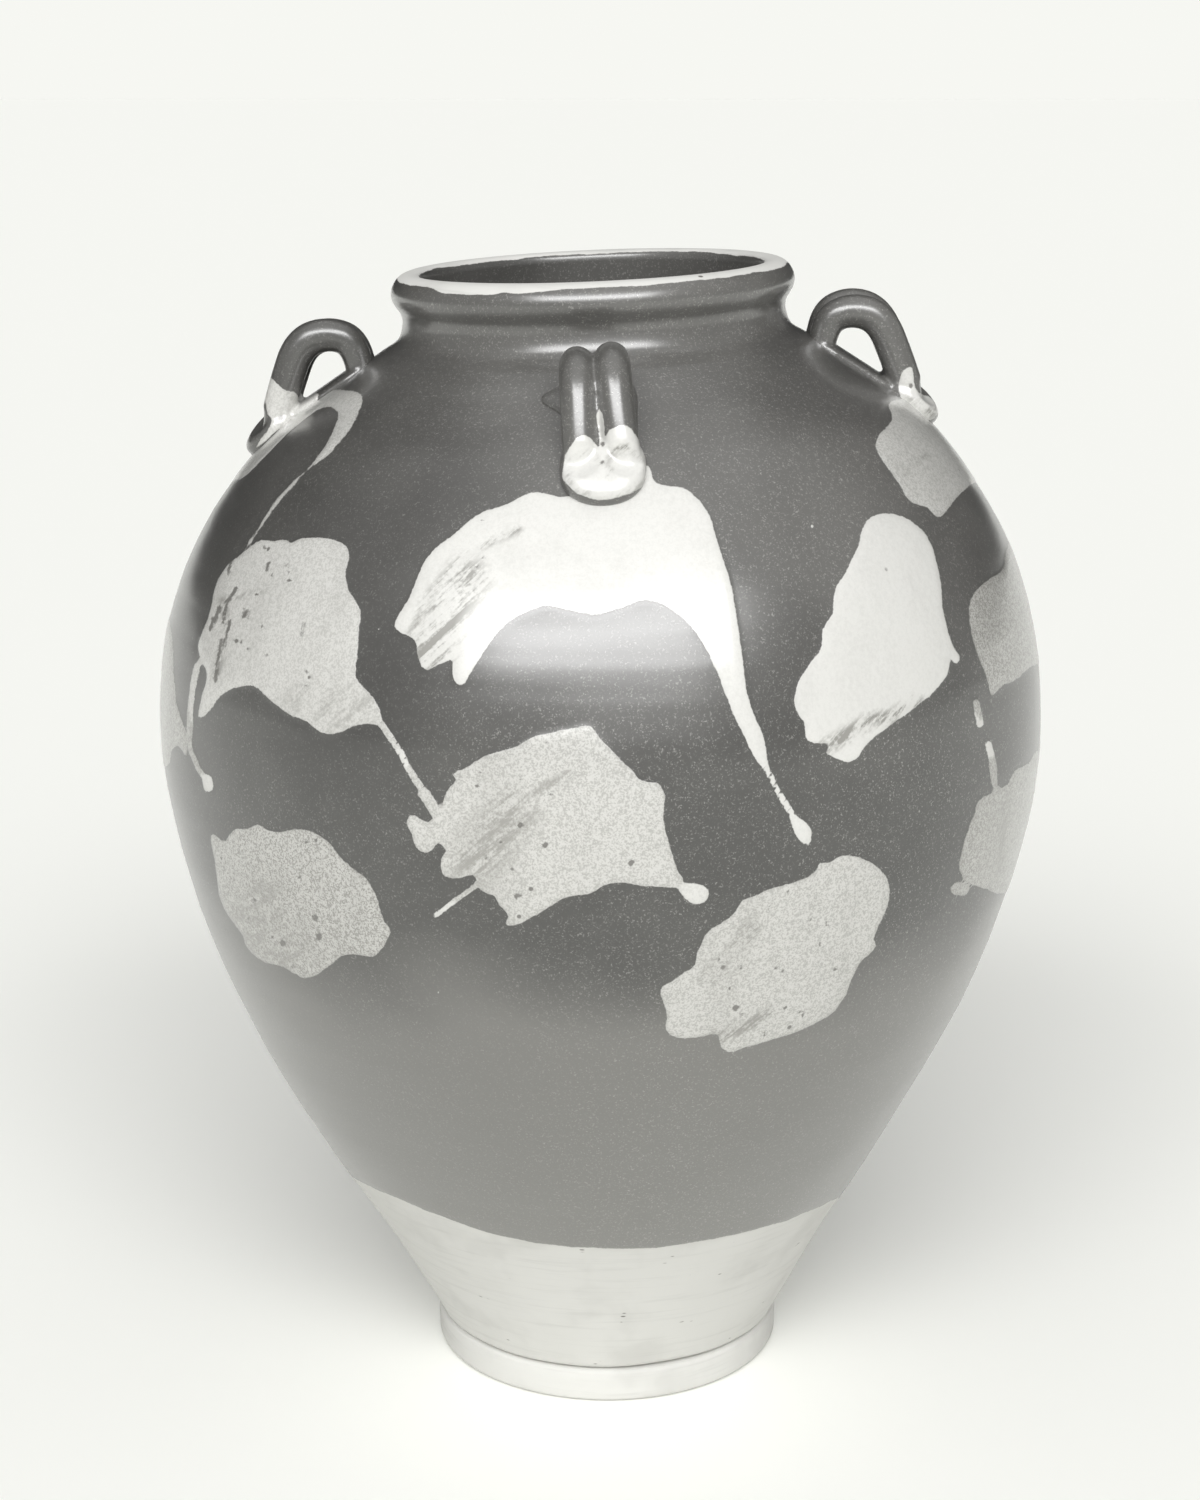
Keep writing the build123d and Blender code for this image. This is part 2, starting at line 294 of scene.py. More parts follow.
# Ladled glaze: pale ash glaze poured over the dark one. Each outline on the near side is drawn in the
# photograph's pixels, after the share of the dark that it covers. A pixel's size is in
# millimetres on the wall, and so is how far round a drawn line the paint is worked out.
pixel_size = 1 / 2.75
paint_reach = 9.0
plain_cover = 0.9
bubble_reach = 3.0
outline_overlap = 3
curve_parts = 5
thin_softness = 0.5
least_softness = 1.0
points_at_once = 20000
front_splashes = {
    "arch": (0.94, (
        (395, 628), (409, 598), (429, 555), (455, 532), (481, 512), (507, 503), (533, 491.5), (564, 496),
        (600, 486), (640, 466), (648, 465), (654, 480), (686, 489), (709, 515), (718, 543), (730.5, 582),
        (740, 637), (750, 702), (766, 745), (769, 766), (778, 789), (792, 812), (811, 830), (808.5, 846),
        (799, 840), (790, 818), (770, 778), (755, 758), (743, 734), (729, 702), (717, 671), (704.5, 645),
        (686, 621), (668, 607), (646, 600), (622, 607), (594, 614.6), (570, 610), (545, 606), (527, 611.5),
        (502, 628), (487, 647), (472, 671), (460, 686.5), (453.5, 680), (452, 659), (438, 665), (425, 670),
        (418, 656), (415, 641),
    )),
    "ear_stroke": (0.68, (
        (342, 390), (362.7, 397.5), (362, 404), (357.6, 415), (344.8, 436), (328, 455), (312, 467),
        (295, 484), (276, 506), (261, 526), (246.7, 546.7), (248, 542), (254, 534), (275, 501), (295, 480),
        (306.5, 470), (324, 448.6), (336, 423), (338.4, 413), (330.8, 407), (319, 409), (306.5, 415),
        (294, 424), (281, 436), (268, 448.6), (248, 470), (229.7, 483.6), (214, 502), (196, 500),
        (200, 470), (230, 430), (262, 405), (296, 396),
    )),
    "left": (0.72, (
        (246.7, 549), (261, 540), (276, 541), (284, 539), (290, 543), (298, 539), (319, 537.5), (334, 540),
        (346, 547), (349, 556), (346, 571), (348.5, 590), (356, 602), (360, 612), (358, 631.5), (357, 653),
        (356.5, 679), (365.5, 690), (376, 703), (382, 719), (383.6, 727), (373, 724), (353, 726),
        (341, 732), (329, 734.5), (317, 730), (307, 722), (290, 715), (276, 705.5), (264, 694.5),
        (255, 687), (237, 687), (222, 694.5), (213, 705.5), (204, 716), (199, 717.6), (200.6, 702),
        (206, 670), (199, 656), (198, 641), (204, 627), (210, 610), (215, 585.5), (222, 571), (230, 562),
        (240.6, 554),
    )),
    "left_limb": (0.3, (
        (150, 602), (165, 610), (170, 627), (173, 673), (176, 704), (186, 738), (185, 757), (178, 745.5),
        (171.5, 750), (168, 765), (150, 768), (135, 760), (135, 610),
    )),
    "centre": (0.63, (
        (461, 770), (476.5, 761), (493, 753), (514, 748), (531, 738), (555, 732), (575.5, 727.6),
        (590, 726.5), (600, 738), (616, 755), (631, 770), (643, 781), (659, 784), (664, 792), (663, 816),
        (669, 843), (678, 871), (684, 882), (680, 887), (663, 887), (641, 886), (616, 883), (604, 886),
        (592, 893), (563, 899), (549, 907), (531, 918), (514, 925.5), (505, 924.5), (508, 916), (500, 906),
        (494, 896), (481.6, 890), (477.5, 882), (475.5, 875.5), (459, 878), (444, 875.5), (442, 857),
        (446, 851), (438, 843), (430.6, 851), (423.5, 853), (417, 849), (412, 835), (406.5, 820),
        (410, 815), (424.5, 821), (432.7, 822), (426.5, 808), (418, 790), (424, 788), (433, 797),
        (441, 808), (444, 798), (449, 788), (456, 781), (451, 772),
    )),
    "teardrop": (0.85, (
        (676, 881), (686, 883), (702, 885), (708.6, 891), (706, 901), (698, 904), (689, 901), (680, 891),
    )),
    "right_tall": (0.95, (
        (885, 513), (903, 516.5), (918, 525), (928, 536), (936, 556), (941.6, 584), (944, 610), (949, 633),
        (954, 648), (960, 659), (956, 664), (951, 658), (949, 671), (939, 686), (921, 703), (903, 717),
        (882, 732), (867, 745), (857, 759), (848, 762), (836.5, 758), (826, 751), (831, 745), (819, 743.5),
        (808.5, 740), (806, 724), (798, 712), (795, 704), (798, 686), (808.5, 666), (821, 648),
        (822.5, 630), (833, 612), (834, 594), (847, 569), (858, 546), (863, 528), (872, 516.5),
    )),
    "under_right_ear": (0.66, (
        (889, 404), (893, 418), (880, 434), (876, 444), (881, 459), (893, 474), (903, 490), (910.5, 501),
        (926, 506), (941, 516.5), (949, 508), (964, 490), (975, 482), (1000, 480), (1000, 440), (960, 412),
        (920, 400),
    )),
    "right_limb": (0.32, (
        (1007, 551), (1004, 569), (990, 579), (974, 594), (970.5, 625), (977, 650), (987, 676), (993, 696),
        (1002, 686), (1015, 681), (1030, 668), (1060, 655), (1060, 560), (1020, 535),
    )),
    "right_low_limb": (0.34, (
        (995.5, 783), (993, 794), (984, 797), (977, 806), (976, 813), (970.5, 826), (966, 840), (962, 856),
        (960, 867), (966, 881), (975, 886), (989, 890), (996, 893.6), (1020, 885), (1060, 860), (1060, 745),
        (1037.5, 751), (1029, 763), (1014, 772), (1010, 783), (1002, 788),
    )),
    "low_left": (0.44, (
        (212.6, 834), (225, 841), (230, 834), (235, 829.5), (248, 829), (257.5, 825), (267, 830),
        (279, 832), (290, 830), (298, 829), (307, 830), (318, 835), (329, 843.5), (342, 859), (354, 869),
        (364, 877), (374, 891), (380, 908), (384, 921), (391, 930.5), (388, 937.5), (382, 949), (375, 956),
        (366, 956), (351.5, 954), (340, 957), (329, 966), (318, 974), (305, 978), (295, 974), (284, 967),
        (267, 963), (256, 957), (246, 947), (242, 935), (235, 925), (227, 914), (221, 901), (218, 884),
        (215, 863),
    )),
    "low_right": (0.62, (
        (818.6, 863), (829, 863), (840, 857), (852.5, 856), (865, 860), (877.5, 867), (888, 881),
        (890, 894), (886, 910), (877.5, 929), (874, 940), (876, 944.5), (872, 952), (861, 961),
        (852.5, 977.5), (845, 997), (833, 1013), (819, 1022), (797, 1032), (772, 1040), (744, 1048),
        (727.5, 1052), (720, 1045), (719, 1036), (701, 1037), (685, 1039), (672, 1036), (666, 1029),
        (667, 1017), (663, 1001), (660, 991), (676, 979), (685, 972), (695, 967), (697, 956), (701, 945),
        (708, 932), (724, 922), (736, 911), (740, 902.5), (754, 896), (776, 887), (797, 882), (810, 876),
        (817, 869.5),
    )),
}
# Strands and drops of the same glaze: half width in pixels, then the points that they run through
front_strands = (
    (3.0, ((203.5, 657), (197, 665.5), (193, 682), (190, 707), (188.5, 738))),
    (3.3, ((381, 724), (391, 738), (400.6, 753), (409, 770), (420, 787))),
    (3.1, ((768, 770), (777, 789), (787, 806), (797, 822))),
    (2.6, ((189, 742), (191, 753), (197, 768), (204, 778))),
    (5.0, ((206, 780), (207.5, 787))),
    (2.4, ((478.6, 884), (456, 900), (434.7, 916))),
    (3.6, ((977, 703), (979, 714), (981, 724))),
    (3.4, ((989, 744), (992, 755), (994, 765), (995.5, 785))),
    (6.5, ((958, 889), (964, 889.5))),
    (1.8, ((813, 525), (813, 527))),
    (1.8, ((747, 769), (747, 771))),
    (1.5, ((377.6, 628), (378, 629))),
    (1.5, ((404, 666), (404.5, 667))),
    (1.5, ((437, 993), (437, 994))),
    (1.6, ((482, 1050), (482, 1051))),
)
# Thin places, where the dark glaze shows through: strength, half width in pixels, points
front_thin_places = (
    (0.8, 3.6, ((411, 634), (426, 598), (453.5, 564), (490, 541), (518, 529))),
    (0.95, 20.0, ((432, 652), (444, 612), (466, 580))),
    (0.9, 2.0, ((702, 606), (710, 608))),
    (0.75, 4.0, ((222, 600), (225, 619), (224, 639), (220, 658), (216, 680))),
    (0.7, 2.0, ((232, 598), (247, 593), (264, 590))),
    (0.6, 5.0, ((459, 855), (481.6, 826.5), (502, 808), (526.5, 796), (555, 782), (569, 775.5))),
    (0.7, 24.0, ((474, 860), (498, 832), (512, 812))),
    (1.0, 7.0, ((918, 703), (893, 717), (870, 721), (844, 737), (824, 749))),
    (0.9, 2.0, ((903, 474), (908, 467), (926, 455))),
    (0.8, 9.0, ((751, 929), (740, 947), (729, 963), (710, 976))),
    (0.9, 8.0, ((770, 1015), (747, 1026), (716, 1037))),
    (0.5, 4.5, ((1006, 790), (1004, 840), (1000, 885))),
    (0.5, 26.0, ((255, 900), (262, 930), (290, 955))),
    (0.35, 20.0, ((300, 700), (335, 715), (360, 705))),
)
# Dark marks in the pale glaze, in pixels: burst bubbles, larger ones, and short dark strokes
small_bubbles = (
    (482.5, 521), (483.5, 557), (475.5, 566.5), (265, 547), (271, 574), (288, 573), (256, 595),
    (286.5, 565), (289, 581), (262, 625.5), (266, 656), (236, 641), (241, 641), (248, 648),
    (305.6, 685), (480, 771), (477.5, 786), (522, 781), (552, 794.5), (501, 841),
    (460, 778), (486, 857), (507, 880), (548, 743), (298, 867), (299, 877), (272, 937), (248, 917),
    (255, 900), (307, 842), (316, 841), (294, 966), (788, 892), (767, 908), (810, 919), (827, 924),
    (820, 944.5), (720, 961), (742, 968), (776, 968), (782, 971), (835, 969), (729, 988), (742, 1014),
    (785, 1008), (801, 1012), (803, 1016), (764, 1034),
)
large_bubbles = (
    (521, 825.5), (545, 845), (631, 863), (518, 895.5), (315, 918), (319, 937), (283, 943), (736, 1008),
)
dark_strokes = (
    ((268.5, 562), (266, 570)), ((244, 610), (243, 617)), ((248.5, 611), (247, 617)),
    ((304.5, 623), (301, 636)), ((305.5, 670), (309, 677)), ((235, 588), (228, 600)),
    ((226, 600), (223, 622)), ((229.5, 620), (224, 646)), ((221, 640), (217, 664)),
    ((217.5, 668), (215.5, 681)), ((219, 606), (215, 622)), ((213, 618), (210, 630)),
    ((231, 560), (228, 574)),
)
small_bubble_radius = 2.2
large_bubble_radius = 3.6
stroke_radius = 1.7

# The far side, laid out the same way, with angles in degrees, heights in millimetres and widths in
# millimetres. The first five carry on the splashes that run over the near side's outline.
far_splashes = (
    (0.66, (
        (-13, 391), (-4, 392), (8, 390), (18, 382), (22, 371), (14, 364), (2, 361), (-8, 362), (-13, 364),
    )),
    (0.32, (
        (-13, 338), (-4, 338), (8, 334), (18, 326), (24, 315), (20, 304), (10, 298), (-2, 295), (-13, 297),
    )),
    (0.34, (
        (-16, 262), (-2, 260), (10, 254), (22, 242), (28, 229), (22, 216), (12, 209), (0, 207), (-16, 209),
    )),
    (0.68, ((193, 402), (184, 400), (173, 392), (164, 380), (167, 371), (178, 368), (193, 372))),
    (0.3, ((195, 309), (186, 311), (176, 306), (169, 294), (170, 278), (176, 266), (186, 257), (195, 258))),
    (0.95, (
        (46, 300), (50, 322), (58, 345), (68, 358), (80, 363), (90, 357), (99, 362), (109, 356), (117, 342),
        (122, 322), (125, 300), (128, 276), (133, 255), (138, 240), (136, 233), (131, 236), (126, 250),
        (121, 268), (116, 290), (109, 306), (101, 316), (92, 313), (84, 307), (76, 311), (70, 303),
        (66, 290), (61, 283), (56, 290), (51, 291),
    )),
    (0.85, (
        (60, 238), (68, 246), (78, 250), (88, 258), (96, 252), (104, 243), (112, 232), (118, 215),
        (120, 196), (113, 186), (103, 190), (93, 187), (84, 178), (74, 172), (66, 182), (60, 196),
        (55, 212), (57, 228),
    )),
    (0.9, (
        (141, 330), (147, 344), (154, 347), (159, 338), (161, 318), (163, 298), (164, 280), (160, 268),
        (154, 256), (148, 246), (142, 251), (139, 262), (141, 280), (138, 300),
    )),
    (0.8, (
        (30, 336), (36, 346), (42, 338), (43, 318), (40, 298), (43, 280), (41, 262), (36, 252), (30, 258),
        (29, 275), (31, 296), (28, 318),
    )),
    (0.8, (
        (140, 205), (150, 212), (160, 208), (168, 196), (170, 178), (163, 164), (152, 156), (142, 160),
        (135, 174), (134, 192),
    )),
    (0.75, ((36, 176), (44, 184), (53, 178), (57, 162), (50, 148), (40, 142), (32, 150), (31, 164))),
    (0.8, ((60, 384), (67, 392), (75, 387), (73, 377), (65, 370), (58, 375))),
    (0.85, ((104, 386), (111, 393), (121, 386), (124, 374), (116, 367), (108, 373))),
    (0.8, ((128, 222), (131, 227), (134, 221), (132, 211), (129, 214))),
    (0.8, ((75, 154), (78, 161), (81, 155), (79, 145), (76, 147))),
    (0.8, ((96, 164), (98, 170), (100, 165), (99, 150), (97, 152))),
)
far_strands = (
    (1.5, ((133, 254), (135, 236), (136, 216))),
    (1.4, ((66, 290), (67, 272), (66, 262))),
    (1.5, ((152, 158), (153, 144), (152, 132))),
    (1.4, ((20, 292), (21, 276), (20, 268))),
)
far_thin_places = (
    (0.9, 1.3, ((56, 300), (62, 322), (70, 338), (82, 345))),
    (0.3, 7.0, ((72, 205), (84, 222), (98, 226))),
    (0.8, 1.4, ((142, 300), (150, 286), (162, 278))),
    (0.3, 6.0, ((148, 176), (158, 186))),
    (0.28, 6.0, ((112, 330), (118, 305))),
)


def lengths_along(line):
    """How far along a line each of its points is."""
    return np.concatenate(([0], np.cumsum(np.hypot(*np.diff(line, axis=0).T))))


def rounded_outline(points):
    """A closed outline's own points with smooth curves between them."""
    points = np.array(points, float)
    wrapped = np.vstack((points[-outline_overlap:], points, points[:outline_overlap + 1]))
    along = lengths_along(wrapped)
    first, last = along[outline_overlap], along[-outline_overlap - 1]
    wanted = np.linspace(first, last, curve_parts * len(points) + 1)[:-1]
    return np.column_stack([smooth_through(along, wrapped[:, axis], wanted) for axis in (0, 1)])


def line_distance(points, line):
    """Distance from points to a line through others."""
    starts, ends = line[:-1], line[1:]
    edges = ends - starts
    away = points[:, None, :] - starts[None]
    share = np.clip((away * edges).sum(2) / np.maximum((edges**2).sum(1), 1e-12), 0, 1)
    return np.sqrt(((away - share[..., None] * edges) ** 2).sum(2).min(1))


def inside_outline(points, outline):
    """Distance from points to a closed outline, above 0 inside it."""
    ring = np.vstack((outline, outline[:1]))
    distance = line_distance(points, ring)
    (x0, y0), (x1, y1) = ring[:-1].T, ring[1:].T
    crosses = (y0 > points[:, 1:]) != (y1 > points[:, 1:])
    height = np.where(y1 == y0, 1, y1 - y0)
    left_of = points[:, :1] < x0 + (points[:, 1:] - y0) / height * (x1 - x0)
    return np.where((crosses & left_of).sum(1) % 2 == 1, distance, -distance)


def near(points, drawn, margin):
    """Which points lie near a drawn line or outline."""
    low, high = drawn.min(0) - margin, drawn.max(0) + margin
    return np.flatnonzero(((points > low) & (points < high)).all(1))


paint_parts = ("pale", "cover", "thin", "bubble")


class Paint:
    """Glaze on a set of points: how far inside the pale glaze each is in millimetres, how thickly the
    glaze covers, how thin it is in streaks, and how deep in a burst bubble."""

    def __init__(self, count):
        self.pale = np.full(count, -paint_reach)
        self.cover = np.full(count, plain_cover)
        self.thin = np.zeros(count)
        self.bubble = np.full(count, -bubble_reach)

    def splash(self, points, outline, cover, size):
        """Adds a splash; the size of a drawn unit is in millimetres, here and below."""
        outline = rounded_outline(outline)
        found = near(points, outline, paint_reach / size)
        for part in np.array_split(found, len(found) // points_at_once + 1):
            inside = np.clip(inside_outline(points[part], outline) * size, -paint_reach, paint_reach)
            deeper = inside > self.pale[part]
            self.cover[part] = np.where(deeper, cover, self.cover[part])
            self.pale[part] = np.maximum(inside, self.pale[part])

    def strand(self, points, line, half_width, size):
        line = np.array(line, float)
        found = near(points, line, paint_reach / size + half_width)
        inside = (half_width - line_distance(points[found], line)) * size
        self.pale[found] = np.maximum(inside, self.pale[found])

    def thin_place(self, points, line, strength, half_width):
        line = np.array(line, float)
        soft = half_width * thin_softness + least_softness
        found = near(points, line, half_width + soft)
        distance = line_distance(points[found], line)
        share = strength * np.clip((half_width + soft - distance) / (2 * soft), 0, 1)
        self.thin[found] = np.maximum(share, self.thin[found])

    def burst(self, points, line, radius, size):
        line = np.array(line, float)
        found = near(points, line, radius + bubble_reach / size)
        inside = (radius - line_distance(points[found], line)) * size
        self.bubble[found] = np.maximum(inside, self.bubble[found])


profile_foot, profile_head, profile_step = 0.010, 0.4200, 0.0005
profile_heights = np.arange(profile_foot, profile_head, profile_step)
profile_radii = wall_radius(profile_heights)
profile_lengths = lengths_along(np.column_stack((profile_heights, profile_radii)))


def unrolled(angle, height, middle):
    """Millimetres round the wall and up it, near a middle angle and height."""
    round_wall = (angle - middle[0]) * np.interp(middle[1], profile_heights, profile_radii)
    return np.column_stack((round_wall, np.interp(height, profile_heights, profile_lengths))) * 1000


def laid_out(angle, height, line):
    """Points of the wall, and a line drawn on its far side, both unrolled round the line's middle."""
    degrees_round, heights = np.array(line, float).T
    middle = (radians(degrees_round.mean()), heights.mean() / 1000)
    return unrolled(angle, height, middle), unrolled(np.radians(degrees_round), heights / 1000, middle)


# Glaze line: the dark glaze stops above the foot, on a wavering line, and the clay is bare below it
glaze_line = (
    (352, 1178), (360, 1182), (380, 1192), (400, 1200), (424, 1211), (448, 1220), (491, 1235), (534, 1244.4),
    (571.5, 1248), (614, 1249), (657, 1248), (694.7, 1242.5), (720, 1238), (748, 1232), (788, 1221),
    (820, 1208), (846, 1194), (856, 1188),
)
bare_corners = ((900, 1200), (900, 1420), (300, 1420), (300, 1180))
far_glaze_line = (
    (-30, 74), (-10, 73), (15, 76), (40, 82), (65, 80), (90, 84), (120, 79), (145, 83), (170, 82), (190, 81),
    (210, 82),
)
glaze_line_top = 0.14
least_facing = 0.01

# The wall's own unevenness: how many times each wave goes round the wall and up it, where it starts
# and how strong it is; then the depths of these, of the glaze and of the groove over the foot
wall_ribs = ((1, 240.0, 1.0, 3.2), (-2, 530.0, 2.6, 1.5), (3, 1060.0, 0.4, 0.6))
wall_swells = ((2, 18.0, 0.6), (3, -28.0, 2.1), (5, 42.0, 3.9), (7, 66.0, 5.5), (11, -94.0, 1.2))
rib_depth = 0.000014
swell_depth = 0.00011
glaze_thickness = 0.00028
glaze_edge = (-0.3, 1.2)
thinned_share = 0.6
bare_depth = 0.00022
bare_edge = (-0.2, 0.6)
wall_inset = 0.0003
neck_fade = 0.009
heel_undercut = 0.0011
heel_undercut_height = 0.0014


def wall_paint(angle, height):
    """Paint on points of the outer wall, and how far below the glaze line each is in millimetres."""
    radial, upward = wall_face(height)
    base = placed(angle, height, wall_radius(height))
    facing = np.column_stack((radial * np.cos(angle), radial * np.sin(angle), upward))
    towards = np.array(camera_place) - base
    in_view = (facing * towards).sum(1) / np.sqrt((towards**2).sum(1)) > least_facing
    shown = np.flatnonzero(in_view)
    pixels = on_photo(base[shown])
    front = Paint(len(shown))
    for cover, outline in front_splashes.values():
        front.splash(pixels, outline, cover, pixel_size)
    for half_width, line in front_strands:
        front.strand(pixels, line, half_width, pixel_size)
    for strength, half_width, line in front_thin_places:
        front.thin_place(pixels, line, strength, half_width)
    for centre in small_bubbles:
        front.burst(pixels, (centre, centre), small_bubble_radius, pixel_size)
    for centre in large_bubbles:
        front.burst(pixels, (centre, centre), large_bubble_radius, pixel_size)
    for line in dark_strokes:
        front.burst(pixels, line, stroke_radius, pixel_size)
    paint = Paint(len(angle))
    for part in paint_parts:
        getattr(paint, part)[shown] = getattr(front, part)
    turned = (angle + pi / 2) % (2 * pi) - pi / 2
    for cover, outline in far_splashes:
        paint.splash(*laid_out(turned, height, outline), cover, 1.0)
    for half_width, line in far_strands:
        paint.strand(*laid_out(turned, height, line), half_width, 1.0)
    for strength, half_width, line in far_thin_places:
        paint.thin_place(*laid_out(turned, height, line), strength, half_width)
    degrees_round, line_heights = np.array(far_glaze_line, float).T
    within = np.clip(np.degrees(turned), degrees_round[0], degrees_round[-1])
    bare = smooth_through(degrees_round, line_heights, within) - 1000 * height
    low = np.flatnonzero(in_view & (height < glaze_line_top))
    if len(low):
        bare_outline = np.array(glaze_line + bare_corners, float)
        bare[low] = inside_outline(on_photo(base[low]), bare_outline) * pixel_size
    return paint, np.clip(bare, -paint_reach, paint_reach)


def soft_step(value, low, high):
    """0 below low, 1 above high, and smooth between them, for numbers."""
    share = np.clip((value - low) / (high - low), 0, 1)
    return share * share * (3 - 2 * share)


def wall_surface(angle, height):
    """Points of the outer wall with its throwing marks and glaze, and the paint on them."""
    paint, bare = wall_paint(angle, height)
    ribs = sum(
        size * np.sin(waves * angle + pitch * height + phase) for waves, pitch, phase, size in wall_ribs
    )
    swells = sum(np.sin(waves * angle + pitch * height + phase) for waves, pitch, phase in wall_swells)
    at_neck = soft_step(height, neck_seat_height - neck_fade, neck_seat_height - neck_fade / 3)
    lift = (rib_depth * ribs + swell_depth * swells - wall_inset) * (1 - at_neck)
    lift = lift + glaze_thickness * soft_step(paint.pale, *glaze_edge) * (1 - thinned_share * paint.thin)
    lift = lift - bare_depth * soft_step(bare, *bare_edge)
    groove_top = foot_height + heel_undercut_height
    over_groove = soft_step(height, foot_height + heel_undercut_height / 2, groove_top)
    lift = lift - heel_undercut * (1 - over_groove)
    radial, upward = wall_face(height)
    return placed(angle, height, wall_radius(height) + lift * radial, lift * upward), paint, bare


def turned_ring(name, outline, turns):
    """Ring turned about the Z axis from a closed outline of radii and heights."""
    bpy.ops.object.select_all(action="DESELECT")
    bpy.ops.mesh.primitive_circle_add(vertices=len(outline))
    ring = bpy.context.object
    ring.name = name
    ring.data.name = name
    corners = [value for radius, height in outline for value in (radius, 0, height)]
    ring.data.vertices.foreach_set("co", corners)
    bpy.ops.object.mode_set(mode="EDIT")
    bpy.ops.mesh.select_all(action="SELECT")
    bpy.ops.mesh.spin(steps=turns, angle=2 * pi, center=(0, 0, 0), axis=(0, 0, 1))
    bpy.ops.mesh.select_all(action="SELECT")
    bpy.ops.mesh.remove_doubles(threshold=merge_distance)
    bpy.ops.mesh.normals_make_consistent(inside=False)
    bpy.ops.object.mode_set(mode="OBJECT")
    bpy.ops.object.shade_smooth()
    return ring


def corners_of(piece):
    """A piece's points as rows of x, y and z."""
    values = np.empty(3 * len(piece.data.vertices))
    piece.data.vertices.foreach_get("co", values)
    return values.reshape(-1, 3)


def set_corners(piece, points):
    """Moves a piece's points to other places."""
    piece.data.vertices.foreach_set("co", points.ravel())
    piece.data.update()


def round_axis(points):
    """Radii and angles of points round the Z axis."""
    return np.hypot(points[:, 0], points[:, 1]), np.arctan2(points[:, 1], points[:, 0])


def faces_of(piece):
    """The ways that a piece's points face, as rows of x, y and z."""
    values = np.empty(3 * len(piece.data.vertices), np.float32)
    piece.data.vertex_normals.foreach_get("vector", values)
    return values.reshape(-1, 3)


def give_paint(piece, paint, bare):
    """Stores the paint on a piece's points, where its material reads it."""
    fields = {part: getattr(paint, part) for part in paint_parts}
    for name, values in {**fields, "bare": bare}.items():
        layer = piece.data.attributes.new(name, "FLOAT", "POINT")
        layer.data.foreach_set("value", np.asarray(values, np.float32))


# Glaze and clay: one fired surface, with dark iron glaze, pale ash glaze over it where it was ladled,
# and bare stoneware where neither reached. All of it is read from the paint on the points.
dark_colour = (0.040, 0.039, 0.036, 1.0)
dark_light_colour = (0.056, 0.055, 0.051, 1.0)
# Painted light: a lighter dark glaze that lightens the top and right side of the shoulder, over a real haze
shoulder_haze_and_painted_light_colour = (0.150, 0.147, 0.138, 1.0)
fleck_colour = (0.30, 0.295, 0.278, 1.0)
# Partly painted reflection: a greyer dark glaze for the lower wall, where the glaze is thinner and the floor
# is reflected
low_thin_glaze_and_reflection_colour = (0.165, 0.162, 0.150, 1.0)
pale_colour = (0.65, 0.646, 0.618, 1.0)
pale_grey_colour = (0.43, 0.426, 0.405, 1.0)
thin_colour = (0.26, 0.255, 0.235, 1.0)
bubble_colour = (0.10, 0.095, 0.085, 1.0)
clay_colour = (0.60, 0.597, 0.57, 1.0)
clay_line_colour = (0.42, 0.416, 0.395, 1.0)
clay_speck_colour = (0.12, 0.11, 0.10, 1.0)
sweep_angle = radians(-42)
sweep_sizes = (0.045, 0.016, 0.0042)
glaze_roughness, clay_roughness = 0.36, 0.82
coat_share = 0.9
gloss = {"IOR": 1.6, "Coat Roughness": 0.20, "Coat IOR": 1.55}
glaze_relief = {"Strength": 0.35, "Distance": 0.0005}
turning_lines = (22.0, 22.0, 460.0)
iron_dashes = (150.0, 150.0, 420.0)
glaze_runs = (60.0, 60.0, 9.0)


def clay_nodes(finish, place):
    """Colour and height of bare clay: turning lines round the foot and small iron specks."""
    lines = finish.noise(finish.stretched(place, turning_lines), 1.0, 4.0, 0.65)
    blotches = finish.noise(place, 38.0, 3.0)
    colour = finish.blend(finish.step(lines, 0.50, 0.75) * 0.30, clay_colour, clay_line_colour)
    colour = finish.blend(finish.step(blotches, 0.45, 0.75) * 0.35, colour, clay_line_colour)
    dashes = finish.spots(finish.stretched(place, iron_dashes), 1.0)
    some = finish.noise(place, 90.0, 1.0)
    specks = (1 - finish.step(dashes, 0.10, 0.20)) * finish.step(some, 0.64, 0.70)
    colour = finish.blend(specks, colour, clay_speck_colour)
    return colour, lines * 0.6 + blotches * 0.4


